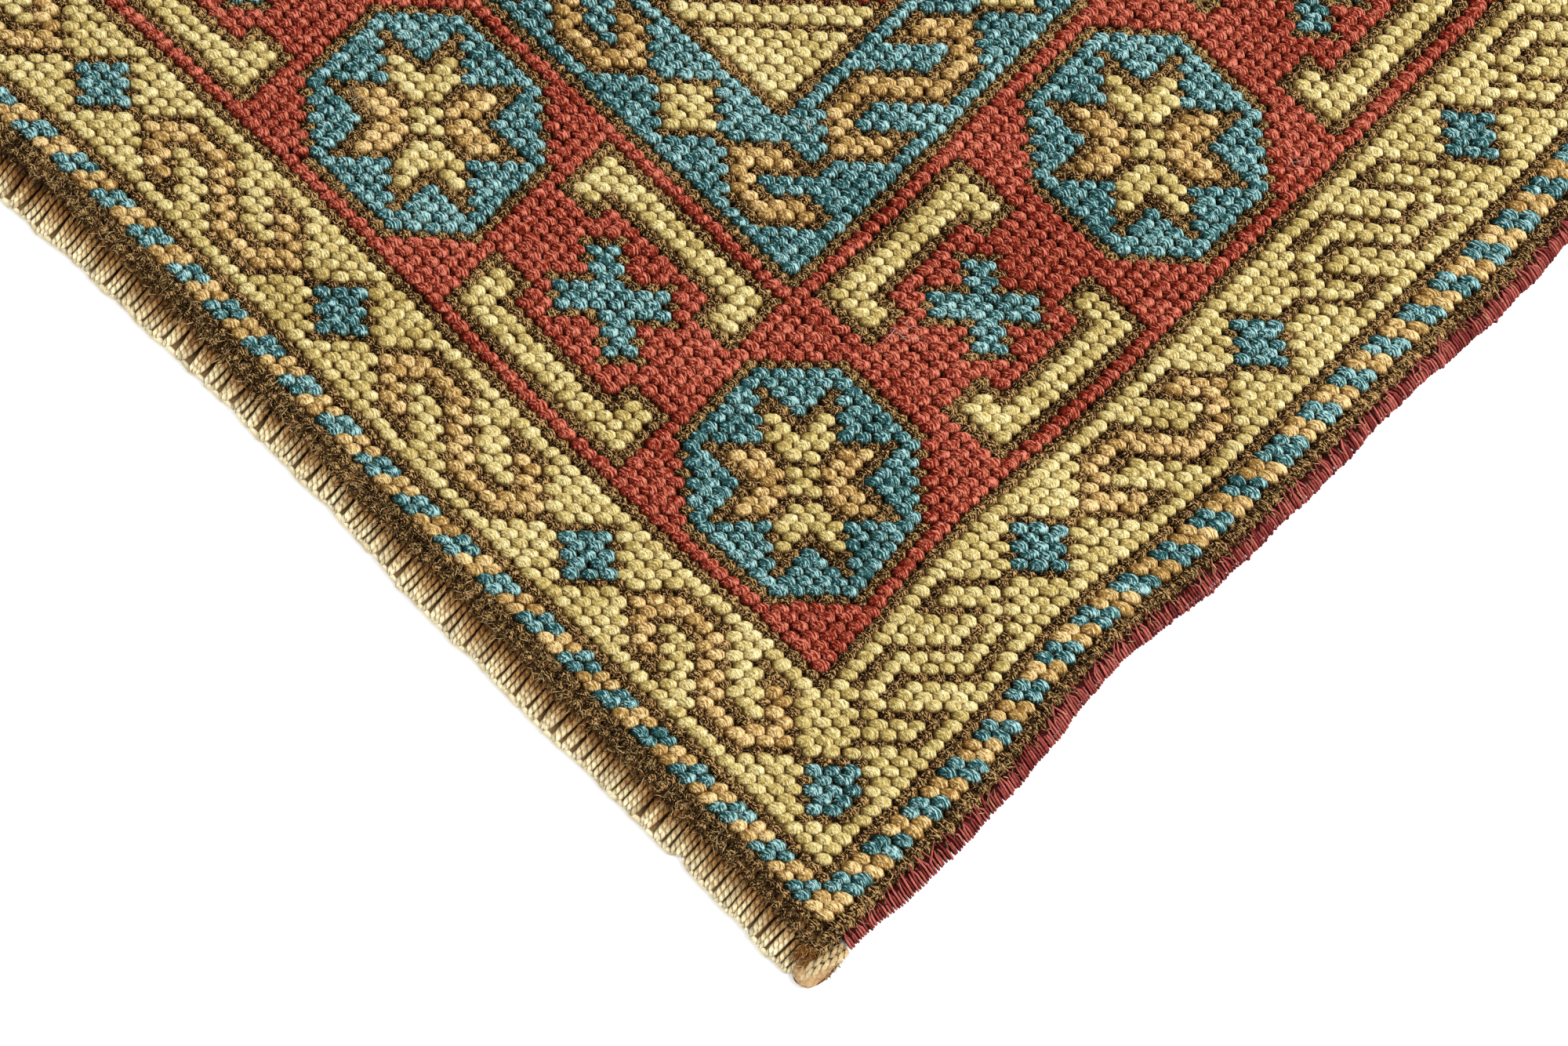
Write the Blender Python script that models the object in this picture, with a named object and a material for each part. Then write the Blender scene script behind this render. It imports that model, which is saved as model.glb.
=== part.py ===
"""Small hand-knotted rug lying flat, with selvedges, warp ends and corner wraps."""
import math

import bpy

# All sizes are in metres. X runs along the rug's length, Y across it, Z up from the floor.
KNOTS_LONG = 211
KNOTS_WIDE = 127
KNOT_LONG = 0.00365
KNOT_WIDE = 0.0040
HALF_LONG = KNOTS_LONG * KNOT_LONG / 2
PIECE_GAP = 0.0003

# The woven field, pile included.
PILE_TOP = 0.0060
CORNER_HALF_WIDE = 0.2518
SIDE_BOW = 0.0067
END_WAVE = 0.0020
END_WAVE_LONG = 0.320
END_WAVE_SHIFT = 0.170
OUTLINE_STEP = 0.0095

# Soft dips where the weaver pulled a side in: place along the length, depth and reach.
SIDE_DIPS = {
    -1: [
        {"at": -0.272, "depth": 0.0052, "reach": 0.035},
        {"at": 0.120, "depth": 0.0016, "reach": 0.030},
        {"at": 0.255, "depth": 0.0034, "reach": 0.042},
    ],
    1: [
        {"at": -0.185, "depth": 0.0028, "reach": 0.046},
        {"at": 0.090, "depth": 0.0014, "reach": 0.028},
        {"at": 0.292, "depth": 0.0042, "reach": 0.034},
    ],
}

# The overcast binding along each long side.
BINDING_WIDE = 0.0060
BINDING_HIGH = 0.0052
BINDING_STEP = 0.0110
BINDING_SHORT = 0.0062

# The warp ends: one strand for each knot, which is one pair of warp cords.
BACKING_WIDE = 0.0021
WARP_HIGH = 0.0023
STRAND_WIDE = 0.0031
STRAND_LONG = 0.0092
STRAND_UNEVEN = 0.0005
STRAND_FIRST = 0.0030

# The bundled cords turned over each corner and sewn down.
WRAP_LONG = 0.0190
WRAP_HIGH = 0.0048
WRAP_WIDTHS = [
    {"share": 0.00, "half_wide": 0.0020},
    {"share": 0.10, "half_wide": 0.0034},
    {"share": 0.28, "half_wide": 0.0040},
    {"share": 0.50, "half_wide": 0.0037},
    {"share": 0.62, "half_wide": 0.0031},
    {"share": 0.90, "half_wide": 0.0028},
    {"share": 1.00, "half_wide": 0.0018},
]
BAR_ROUNDING = 2

COLORS = {
    "wool_pile": (0.60, 0.13, 0.10),
    "red_binding": (0.38, 0.08, 0.07),
    "cream_warp": (0.72, 0.60, 0.38),
}


def clear_scene():
    for thing in list(bpy.data.objects):
        bpy.data.objects.remove(thing, do_unlink=True)


def half_wide(x, side):
    """Half the field's width at one place along the length."""
    width = CORNER_HALF_WIDE + SIDE_BOW * (1 - (x / HALF_LONG) ** 2)
    for dip in SIDE_DIPS[side]:
        width -= dip["depth"] * math.exp(-((x - dip["at"]) / dip["reach"]) ** 2)
    return width


def half_long(y, end):
    """Half the field's length at one place across the width."""
    turn = 2 * math.pi * (y - end * END_WAVE_SHIFT) / END_WAVE_LONG
    return HALF_LONG + END_WAVE * math.cos(turn)


def material(name):
    made = bpy.data.materials.get(name)
    if made is None:
        made = bpy.data.materials.new(name)
        made.use_nodes = True
        shader = made.node_tree.nodes["Principled BSDF"]
        shader.inputs["Base Color"].default_value = (*COLORS[name], 1)
        shader.inputs["Roughness"].default_value = 0.9
    return made


def add_curve(name, material_name, collection):
    curve = bpy.data.curves.new(name, "CURVE")
    curve.materials.append(material(material_name))
    made = bpy.data.objects.new(name, curve)
    collection.objects.link(made)
    return made


def add_sheet(name, points, high, material_name, collection):
    """A level sheet with the given outline, lying on the floor."""
    sheet = add_curve(name, material_name, collection)
    sheet.data.dimensions = "2D"
    sheet.data.fill_mode = "BOTH"
    sheet.data.extrude = high / 2
    outline = sheet.data.splines.new("POLY")
    outline.points.add(len(points) - 1)
    for point, (x, y) in zip(outline.points, points):
        point.co = (x, y, 0, 1)
    outline.use_cyclic_u = True
    sheet.location.z = high / 2
    return sheet


def add_bar(name, path, high, material_name, collection):
    """A soft bar along a path on the floor, flattened to the given height."""
    bar = add_curve(name, material_name, collection)
    widest = max(half_width for x, y, half_width in path)
    bar.data.dimensions = "3D"
    bar.data.bevel_depth = widest
    bar.data.bevel_resolution = BAR_ROUNDING
    bar.data.use_fill_caps = True
    line = bar.data.splines.new("POLY")
    line.points.add(len(path) - 1)
    for point, (x, y, half_width) in zip(line.points, path):
        point.co = (x, y, 0, 1)
        point.radius = half_width / widest
    bar.scale.z = high / 2 / widest
    bar.location.z = high / 2
    return bar


def spread(low, high, step):
    """Evenly spaced places from low to high, both included."""
    count = max(1, round((high - low) / step))
    return [low + (high - low) * index / count for index in range(count + 1)]


def field_corner(end, side):
    """The field's corner, where its end line meets its side line."""
    x = end * HALF_LONG
    for _ in range(8):
        y = side * half_wide(x, side)
        x = end * half_long(y, end)
    return x, y


def field_outline():
    corners = {(end, side): field_corner(end, side) for end in (-1, 1) for side in (-1, 1)}
    points = []
    near = spread(corners[-1, -1][0], corners[1, -1][0], OUTLINE_STEP)
    points += [(x, -half_wide(x, -1)) for x in near]
    right = spread(corners[1, -1][1], corners[1, 1][1], OUTLINE_STEP)
    points += [(half_long(y, 1), y) for y in right[1:-1]]
    far = spread(corners[-1, 1][0], corners[1, 1][0], OUTLINE_STEP)
    points += [(x, half_wide(x, 1)) for x in reversed(far)]
    left = spread(corners[-1, -1][1], corners[-1, 1][1], OUTLINE_STEP)
    points += [(-half_long(y, -1), y) for y in reversed(left[1:-1])]
    return points


def binding_path(side):
    """The middle line of one selvedge, drawn in a little at both ends."""
    left = field_corner(-1, side)[0] + BINDING_SHORT
    right = field_corner(1, side)[0] - BINDING_SHORT
    path = []
    for x in spread(left, right, BINDING_STEP):
        y = side * (half_wide(x, side) + PIECE_GAP + BINDING_WIDE / 2)
        path.append((x, y, BINDING_WIDE / 2))
    return path


def wrap_path(end, side):
    """The middle line of one corner wrap, from its outer tip to the selvedge."""
    inner = field_corner(end, side)[0] - end * (BINDING_SHORT - PIECE_GAP)
    path = []
    for stage in WRAP_WIDTHS:
        x = inner + end * WRAP_LONG * (1 - stage["share"])
        clear = half_wide(min(abs(x), HALF_LONG) * end, side) + PIECE_GAP
        y = side * (clear + max(BINDING_WIDE / 2, stage["half_wide"]) + PIECE_GAP)
        path.append((x, y, stage["half_wide"]))
    if end > 0:
        path.reverse()
    return path


def strand_reach(index):
    """How far one strand runs past the backing: even rows with a gentle unevenness."""
    slow = math.sin(index * 0.37)
    quick = math.sin(index * 2.3)
    return STRAND_LONG + STRAND_UNEVEN * (0.6 * slow + 0.4 * quick)


def warp_outline(end):
    """A narrow backing with strands standing out of it, all across one short end."""
    low = -half_wide(end * HALF_LONG, -1) + STRAND_FIRST
    pitch = (half_wide(end * HALF_LONG, 1) - STRAND_FIRST - low) / KNOTS_WIDE
    inner = []
    outer = []
    for index in range(KNOTS_WIDE):
        middle = low + pitch * (index + 0.5)
        for y in (middle - STRAND_WIDE / 2, middle + STRAND_WIDE / 2):
            inner.append((end * (half_long(y, end) + PIECE_GAP), y))
        root = half_long(middle, end) + PIECE_GAP + BACKING_WIDE
        tip = root + strand_reach(index)
        for x, y in (
            (root, middle - STRAND_WIDE / 2),
            (tip, middle - STRAND_WIDE / 2),
            (tip, middle + STRAND_WIDE / 2),
            (root, middle + STRAND_WIDE / 2),
        ):
            outer.append((end * x, y))
    return inner + outer[::-1]


def build_rug():
    clear_scene()
    collection = bpy.data.collections.new("oriental_rug")
    bpy.context.scene.collection.children.link(collection)
    add_sheet("field", field_outline(), PILE_TOP, "wool_pile", collection)
    for side, place in ((-1, "near"), (1, "far")):
        path = binding_path(side)
        add_bar(f"binding_{place}", path, BINDING_HIGH, "red_binding", collection)
        for end, half in ((-1, "left"), (1, "right")):
            path = wrap_path(end, side)
            add_bar(f"wrap_{half}_{place}", path, WRAP_HIGH, "cream_warp", collection)
    for end, half in ((-1, "left"), (1, "right")):
        outline = warp_outline(end)
        add_sheet(f"warp_ends_{half}", outline, WARP_HIGH, "cream_warp", collection)


build_rug()
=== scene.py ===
import math

import bpy
import numpy as np
from mathutils import Matrix, Vector


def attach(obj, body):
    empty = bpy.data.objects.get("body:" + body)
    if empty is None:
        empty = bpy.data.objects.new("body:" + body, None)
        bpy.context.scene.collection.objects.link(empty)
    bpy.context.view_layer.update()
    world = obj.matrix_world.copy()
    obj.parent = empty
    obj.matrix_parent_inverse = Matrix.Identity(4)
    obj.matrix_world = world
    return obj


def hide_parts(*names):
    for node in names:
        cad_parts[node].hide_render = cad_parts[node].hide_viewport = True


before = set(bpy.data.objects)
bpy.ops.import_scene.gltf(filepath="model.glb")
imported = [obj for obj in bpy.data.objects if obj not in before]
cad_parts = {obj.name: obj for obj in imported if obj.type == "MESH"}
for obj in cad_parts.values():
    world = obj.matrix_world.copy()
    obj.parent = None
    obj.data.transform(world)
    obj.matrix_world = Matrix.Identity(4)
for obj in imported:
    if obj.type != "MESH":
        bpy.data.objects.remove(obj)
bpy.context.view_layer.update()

# Weave, in metres. A knot is named by its place (i, j): i counts along the rug, j across it.
# Knot (0, 0) lies near the corner that the camera sees, and the middle knot is (71, 55).
KNOT_LONG = 0.00365
KNOT_WIDE = 0.0040
FIRST_I, LAST_I = -34, 176
FIRST_J, LAST_J = -8, 118
MIDDLE_I, MIDDLE_J = 71, 55
KNOTS_LONG = LAST_I - FIRST_I + 1
KNOTS_WIDE = LAST_J - FIRST_J + 1

# Outline of the knotted field, as the solids have it.
HALF_LONG = 0.385075
CORNER_HALF_WIDE = 0.2518
SIDE_BOW = 0.0067
END_WAVE = 0.0020
END_WAVE_LONG = 0.320
END_WAVE_SHIFT = 0.170
SIDE_DIPS = {
    -1: (
        {"at": -0.272, "depth": 0.0052, "reach": 0.035},
        {"at": 0.120, "depth": 0.0016, "reach": 0.030},
        {"at": 0.255, "depth": 0.0034, "reach": 0.042},
    ),
    1: (
        {"at": -0.185, "depth": 0.0028, "reach": 0.046},
        {"at": 0.090, "depth": 0.0014, "reach": 0.028},
        {"at": 0.292, "depth": 0.0042, "reach": 0.034},
    ),
}

# Where a hand-tied weave has crept: the shift at each centre, in metres, and how many knots it reaches.
CREEPS = (
    {"i": 9, "j": 9, "reach_i": 9, "reach_j": 13, "long": 0.0046, "wide": 0.0},
    {"i": -18, "j": 9, "reach_i": 9, "reach_j": 9, "long": 0.0026, "wide": 0.0},
    {"i": -25, "j": 37, "reach_i": 12, "reach_j": 11, "long": -0.0017, "wide": -0.0002},
    {"i": -33, "j": 71, "reach_i": 13, "reach_j": 10, "long": 0.0022, "wide": 0.0009},
    {"i": 15, "j": 52, "reach_i": 15, "reach_j": 12, "long": -0.0020, "wide": 0.0005},
    {"i": 57, "j": -3, "reach_i": 16, "reach_j": 11, "long": -0.0026, "wide": -0.0020},
    {"i": -32, "j": -9, "reach_i": 10, "reach_j": 7, "long": -0.0031, "wide": 0.0015},
    {"i": -32, "j": 22, "reach_i": 14, "reach_j": 10, "long": 0.0010, "wide": -0.0027},
    {"i": -5, "j": 22, "reach_i": 9, "reach_j": 10, "long": 0.0007, "wide": -0.0017},
    {"i": 34, "j": 22, "reach_i": 14, "reach_j": 12, "long": 0.0013, "wide": 0.0006},
    {"i": -30, "j": 50, "reach_i": 12, "reach_j": 9, "long": 0.0, "wide": 0.0010},
    {"i": 71, "j": -9, "reach_i": 500, "reach_j": 1.4, "long": 0.0, "wide": -0.0027},
    {"i": 43, "j": -9, "reach_i": 8, "reach_j": 4, "long": 0.0, "wide": -0.0030},
)

# Heights over the floor, in metres.
BACK_HIGH = 0.0008
KNOT_TOP = 0.0060
BROWN_TOP = 0.0050

# Camera: in the frame of the photograph, with a lens that its perspective gives.
CAMERA_AT = (-0.45017, -0.25115, 0.80258)
CAMERA_AIM = (-0.30417, -0.15913, 0.0)
CAMERA_UP = (0.70263, 0.68107, 0.20591)
CAMERA_SENSOR = 36.0
CAMERA_LENS = 65.0

RED, BLUE, CREAM, PEACH, BROWN = range(5)
COLOUR_NAMES = ("red", "blue", "ivory", "peach", "brown")
rng = np.random.default_rng(7)


# Shape of the rug

def half_wide(x, side):
    """Half of the field's width at x, on the near side (-1) or the far side (1)."""
    reach = CORNER_HALF_WIDE + SIDE_BOW * (1 - (x / HALF_LONG) ** 2)
    for dip in SIDE_DIPS[side]:
        reach = reach - dip["depth"] * np.exp(-(((x - dip["at"]) / dip["reach"]) ** 2))
    return reach


def half_long(y, end):
    """Half of the field's length at y, at the left end (-1) or the right end (1)."""
    return HALF_LONG + END_WAVE * np.cos(2 * np.pi * (y - end * END_WAVE_SHIFT) / END_WAVE_LONG)


def creep(i, j):
    """How far the weave has crept at knot (i, j). The two ends of the rug match by a half turn."""
    shift_x = np.zeros(np.broadcast(i, j).shape)
    shift_y = np.zeros(np.broadcast(i, j).shape)
    for turn in (1, -1):
        for spot in CREEPS:
            away_i = (i - MIDDLE_I) * turn + MIDDLE_I - spot["i"]
            away_j = (j - MIDDLE_J) * turn + MIDDLE_J - spot["j"]
            share = np.exp(-((away_i / spot["reach_i"]) ** 2) - (away_j / spot["reach_j"]) ** 2)
            shift_x = shift_x + turn * share * spot["long"]
            shift_y = shift_y + turn * share * spot["wide"]
    return shift_x, shift_y


def place(i, j, out=0.0):
    """Where the point (i, j) of the weave lies. out is a distance beyond the side edge, in metres."""
    i = np.asarray(i, float)
    j = np.asarray(j, float)
    along = (i - MIDDLE_I) / (KNOTS_LONG / 2)
    across = (j - MIDDLE_J) / (KNOTS_WIDE / 2)
    y_plain = (j - MIDDLE_J) * KNOT_WIDE
    x = along * np.where(along < 0, half_long(y_plain, -1), half_long(y_plain, 1))
    y = across * np.where(across < 0, half_wide(x, -1), half_wide(x, 1))
    shift_x, shift_y = creep(i, j)
    return x + shift_x, y + shift_y + np.sign(across) * out


# Pattern: every motif is drawn twice, the second time turned by half a turn about the middle knot

GRID_I, GRID_J = np.meshgrid(
    np.arange(FIRST_I, LAST_I + 1), np.arange(FIRST_J, LAST_J + 1), indexing="ij"
)

# One link of the running scroll, as counted on the rug: k is its outline, f its fill.
SCROLL = (
    "...kkkkk...kkkk...",
    "..kfffffk...kffk..",
    ".kffkkkffk...kffk.",
    "kffk...kffk...kffk",
    ".kffk...kffkkkffk.",
    "..kffk...kfffffk..",
    "...kkkk...kkkkk...",
)
# The hook that turns a scroll round a corner, rows from far to near.
HOOK = (
    "...kfk....",
    "..kfffk...",
    ".kffkffk..",
    ".kfk.kfk..",
    ".kfk..kk..",
    ".kffk..kkk",
    "..kffk....",
    "...kfk....",
    "....kk....",
)
# A quarter of the star in each octagon, rows from its middle outwards: w is the middle, f a ray.
STAR = (
    "wwkkk....",
    "wkfffk...",
    "kfffffk..",
    "kffkkkkk.",
    "kffk.....",
    ".kfk.....",
    "..kk.....",
    "...k.....",
)

OCTAGON_REACH = 9
OCTAGON_CUT = 13
# From this row on, the near guard stripe steps one knot late.
LATE_I = 20

pattern = np.full((KNOTS_LONG, KNOTS_WIDE), RED)


def paint(mask, colour):
    """Colours the masked knots, and those that they fall on by a half turn."""
    pattern[mask] = colour
    pattern[mask[::-1, ::-1]] = colour


def cells(points):
    """A mask of the listed knots (i, j)."""
    mask = np.zeros(pattern.shape, bool)
    for i, j in points:
        mask[i - FIRST_I, j - FIRST_J] = True
    return mask


def neighbours(mask):
    """The knots that touch the mask by a side."""
    grown = np.zeros_like(mask)
    grown[1:] |= mask[:-1]
    grown[:-1] |= mask[1:]
    grown[:, 1:] |= mask[:, :-1]
    grown[:, :-1] |= mask[:, 1:]
    return grown & ~mask


def draw(chart, where, fill):
    """Draws a chart. where(row, column) gives the knot (i, j) of one of its letters."""
    for letter, colour in (("k", BROWN), ("f", fill), ("w", CREAM)):
        paint(cells(
            where(row, column)
            for row, line in enumerate(chart)
            for column, mark in enumerate(line)
            if mark == letter
        ), colour)


def scroll_along(start, middle_j, fill):
    """A scroll that runs along the rug, its first link ending on start."""
    draw(SCROLL, lambda row, column: (start - 1 + column, middle_j + 3 - row), fill)


def scroll_across(start, middle_i, fill):
    """A scroll that runs across the rug."""
    draw(SCROLL, lambda row, column: (middle_i - 3 + row, start - 1 + column), fill)


def lozenge(i, j, colour):
    """A filled lozenge with a brown outline round knot (i, j)."""
    far = abs(GRID_I - i) + abs(GRID_J - j)
    paint(far == 3, BROWN)
    paint(far <= 2, colour)


def octagon(i, j):
    """A blue octagon with a brown outline and a star in it."""
    a, b = GRID_I - i, GRID_J - j
    wide = np.maximum(abs(a), abs(b))
    paint((wide <= OCTAGON_REACH) & (abs(a) + abs(b) <= OCTAGON_CUT), BROWN)
    paint((wide <= OCTAGON_REACH - 1) & (abs(a) + abs(b) <= OCTAGON_CUT - 1), BLUE)
    for sign_a in (-1, 1):
        for sign_b in (-1, 1):
            fill = CREAM if sign_a * sign_b > 0 else PEACH
            draw(STAR, lambda row, column: (i + sign_a * column, j + sign_b * row), fill)


def cross(a, b):
    """A stepped cross. a and b are each knot's steps from its middle."""
    mask = (abs(a - b) <= 1) & (a + b <= 5)
    paint(neighbours(mask), BROWN)
    paint(mask, BLUE)


def bracket(along, depth, length):
    """A long bracket with hooked ends. along and depth count from its outer corner."""
    edge = np.minimum(along, length - 1 - along)
    inside = (edge >= 0) & (depth >= 0)
    shaft = inside & (depth <= 3)
    leg = inside & (depth <= 5) & (edge <= 3)
    paint(shaft | leg, BROWN)
    paint(inside & (edge > 0) & ((depth == 1) | (depth == 2)), CREAM)
    paint(((edge == 1) | (edge == 2)) & (depth >= 1) & (depth <= 4), CREAM)


def draw_borders():
    """The dark edge, the stepped guard stripe and the ivory border with its scrolls and lozenges."""
    from_side = np.minimum(GRID_J - FIRST_J, LAST_J - GRID_J)
    from_end = np.minimum(GRID_I - FIRST_I, LAST_I - GRID_I)
    ring = np.minimum(from_side, from_end - 1)
    pattern[ring <= 13] = BROWN
    pattern[ring <= 12] = CREAM
    pattern[ring <= 3] = BROWN
    step = (GRID_I + GRID_J) % 4
    late = (GRID_I >= LATE_I) & (GRID_J < MIDDLE_J)
    side_guard = (ring >= 1) & (ring <= 2) & (from_side <= 2)
    end_guard = (ring >= 1) & (ring <= 2) & (from_side > 2)
    near_step = np.where(late, (GRID_I + GRID_J - 1) % 4, step)
    near = GRID_J < MIDDLE_J
    left = GRID_I < MIDDLE_I
    paint(side_guard & near, PEACH)
    paint(side_guard & near & (near_step <= 1), BLUE)
    paint(end_guard & left, PEACH)
    paint(end_guard & left & ((step == 0) | (step == 3)), BLUE)
    corner = (GRID_I <= -28) & (GRID_J <= -4) & (ring >= 1) & (ring <= 2)
    paint(corner, PEACH)
    paint(cells([(-32, -4), (-32, -5), (-31, -5), (-30, -6), (-29, -7), (-28, -7), (-29, -6)]), BLUE)
    paint(ring == 0, BROWN)
    for start in (-20, 5, 31, 56, 81, 106, 131):
        scroll_along(start, 0, CREAM if start % 2 == 0 or start == 31 else PEACH)
    for start in (4, 29, 54, 79):
        scroll_across(start, -25, PEACH)
    for i in (0, 25, 51, 76, 101, 126, 151):
        lozenge(i, 0, BLUE)
    for j in (24, 49, 74):
        lozenge(-25, j, BLUE)
    lozenge(-25, -1, BLUE)
    paint(cells([(i, -3) for i in (-26, -25, -24)]), BROWN)
    paint(cells([(-25, -4)]), CREAM)
    paint(cells([(29, 0), (154, 0)]), BROWN)
    lozenge(-25, 111, BLUE)
    draw(HOOK, lambda row, column: (164 - row, 4 - column), PEACH)
    draw(HOOK, lambda row, column: (-29 + column, 106 - row), PEACH)


def draw_field():
    """The octagons of the red field, with brackets and a cross between them."""
    for i in (-9, 31, 71, 111, 151):
        octagon(i, 16)
    octagon(-9, 55)
    for start in (3, 43, 83, 123):
        bracket(GRID_I - start, GRID_J - 7, 17)
        bracket(GRID_I - start, 25 - GRID_J, 17)
        cross(abs(GRID_I - start - 8), abs(GRID_J - 16))
    for start in (27, 66):
        bracket(GRID_J - start, GRID_I + 18, 18)
        bracket(GRID_J - start, 0 - GRID_I, 18)
        cross(abs(GRID_I + 9), abs(GRID_J - start - 8.5) - 0.5)


def draw_panel():
    """The blue frame with its scrolls, and the panel inside it."""
    in_i = np.minimum(GRID_I, 2 * MIDDLE_I - GRID_I)
    in_j = np.minimum(GRID_J, 2 * MIDDLE_J - GRID_J)
    panel = (in_i >= 2) & (in_j >= 27)
    pattern[panel] = BROWN
    pattern[panel & (in_i >= 3) & (in_j >= 28)] = BLUE
    inner = (in_i >= 12) & (in_j >= 37)
    pattern[inner] = BROWN
    inner &= (in_i >= 13) & (in_j >= 38)
    pattern[inner] = CREAM
    corner_far = in_i + in_j
    pattern[inner & (corner_far >= 59)] = BROWN
    pattern[inner & ((corner_far == 60) | (corner_far == 61))] = CREAM
    pattern[inner & (corner_far >= 63)] = RED
    for i in (41, 71):
        octagon(i, 55)
    for i in (56, 26):
        cross(abs(GRID_I - i), abs(GRID_J - MIDDLE_J))
    draw(HOOK, lambda row, column: (3 + column, 37 - row), PEACH)
    draw(HOOK, lambda row, column: (3 + column, 73 + row), PEACH)
    for start in (13, 38, 64, 89, 114):
        scroll_along(start, 32, PEACH)
    for i in (33, 58, 84, 109):
        lozenge(i, 32, CREAM)
    scroll_across(47, 7, PEACH)
    for j in (42, 68):
        lozenge(7, j, CREAM)
    paint(cells([(7, 38), (7, 46), (7, 64), (7, 72), (62, 32), (29, 32), (80, 32)]), BROWN)


draw_borders()
draw_field()
draw_panel()


# Materials

def new_material(name):
    material = bpy.data.materials.new(name)
    material.use_nodes = True
    nodes = material.node_tree.nodes
    return material, nodes, material.node_tree.links, nodes["Principled BSDF"]


def link_ramp(nodes, links, source, stops):
    """A colour ramp fed by source. stops holds (position, colour) pairs."""
    ramp = nodes.new("ShaderNodeValToRGB")
    ramp.color_ramp.elements[0].position = stops[0][0]
    ramp.color_ramp.elements[0].color = (*stops[0][1], 1)
    ramp.color_ramp.elements[1].position = stops[-1][0]
    ramp.color_ramp.elements[1].color = (*stops[-1][1], 1)
    for position, colour in stops[1:-1]:
        element = ramp.color_ramp.elements.new(position)
        element.color = (*colour, 1)
    links.new(source, ramp.inputs["Fac"])
    return ramp.outputs["Color"]


def math_node(nodes, links, operation, first, second):
    node = nodes.new("ShaderNodeMath")
    node.operation = operation
    for socket, value in zip(node.inputs, (first, second)):
        if isinstance(value, (int, float)):
            socket.default_value = value
        else:
            links.new(value, socket)
    return node.outputs["Value"]


def mix_colour(nodes, links, blend, factor, first, second):
    node = nodes.new("ShaderNodeMix")
    node.data_type = "RGBA"
    node.blend_type = blend
    for name, value in (("Factor", factor), ("A", first), ("B", second)):
        socket = node.inputs[name]
        if isinstance(value, (int, float)):
            socket.default_value = value
        elif isinstance(value, tuple):
            socket.default_value = (*value, 1)
        else:
            links.new(value, socket)
    return node.outputs["Result"]


def noise(nodes, links, coordinates, scale, detail=2.0, stretch=None):
    if stretch:
        mapping = nodes.new("ShaderNodeMapping")
        mapping.inputs["Scale"].default_value = stretch
        links.new(coordinates, mapping.inputs["Vector"])
        coordinates = mapping.outputs["Vector"]
    node = nodes.new("ShaderNodeTexNoise")
    node.inputs["Scale"].default_value = scale
    node.inputs["Detail"].default_value = detail
    links.new(coordinates, node.inputs["Vector"])
    return node.outputs["Fac"]


# How much of a knot's tone comes from the painted highlight at its tip, its loose fluff and the patch of the
# rug that it lies in.
TIP_HIGHLIGHT = 0.16
FLUFF_LIGHT = 0.3
PATCH_LIGHT = 0.2
WOOL_RELIEF = 0.0015


def wool_material(name, deep, body, bright, evenness, glints, lay=(1.6, 7.5, 1.0)):
    """Wool pile: strands that curl over each knot, with a painted highlight at its tip and painted shade at
    its foot.

    evenness is how far one knot's tone may stray from the next, glints how strongly its strands stand out, in
    fibre and in painted highlight and shade.
    """
    material, nodes, links, shader = new_material(name)
    place_node = nodes.new("ShaderNodeTexCoord")
    uv = nodes.new("ShaderNodeUVMap")
    uv.uv_map = "strands"
    knot = nodes.new("ShaderNodeAttribute")
    knot.attribute_name = "knot_tone"
    height = nodes.new("ShaderNodeAttribute")
    height.attribute_name = "pile_height"
    tip = nodes.new("ShaderNodeAttribute")
    tip.attribute_name = "tip_side"
    strand = noise(nodes, links, uv.outputs["UV"], 1.0, 2.0, lay)
    fluff = noise(nodes, links, place_node.outputs["Object"], 1300.0, 2.0)
    patch = noise(nodes, links, place_node.outputs["Object"], 22.0, 2.0)
    # The strands' pattern is partly the wool's own fibres and partly painted highlight on the strands and
    # painted shade between them.
    tone = math_node(nodes, links, "MULTIPLY", strand, glints)
    for source, weight in (
        (fluff, FLUFF_LIGHT), (patch, PATCH_LIGHT),
        (tip.outputs["Fac"], TIP_HIGHLIGHT), (knot.outputs["Fac"], evenness),
    ):
        tone = math_node(nodes, links, "ADD", tone, math_node(nodes, links, "MULTIPLY", source, weight))
    middle = 0.5 * (glints + FLUFF_LIGHT + PATCH_LIGHT + TIP_HIGHLIGHT + evenness)
    tone = math_node(nodes, links, "SUBTRACT", tone, middle - 0.5)
    colour = link_ramp(nodes, links, tone, ((0.35, deep), (0.5, body), (0.66, bright)))
    # Painted shade at each knot's foot and in the creases between knots, read from its pile height.
    shade = link_ramp(nodes, links, height.outputs["Fac"], (
        (0.0, (0.10, 0.055, 0.025)), (0.50, (0.55, 0.46, 0.37)), (0.70, (1, 1, 1)),
    ))
    colour = mix_colour(nodes, links, "MULTIPLY", 1.0, colour, shade)
    links.new(colour, shader.inputs["Base Color"])
    shader.inputs["Roughness"].default_value = 0.7
    shader.inputs["Specular IOR Level"].default_value = 0.05
    bump = nodes.new("ShaderNodeBump")
    bump.inputs["Strength"].default_value = 1.0
    bump.inputs["Distance"].default_value = WOOL_RELIEF
    relief = math_node(nodes, links, "ADD", strand, math_node(nodes, links, "MULTIPLY", fluff, 0.35))
    links.new(relief, bump.inputs["Height"])
    links.new(bump.outputs["Normal"], shader.inputs["Normal"])
    return material


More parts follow.
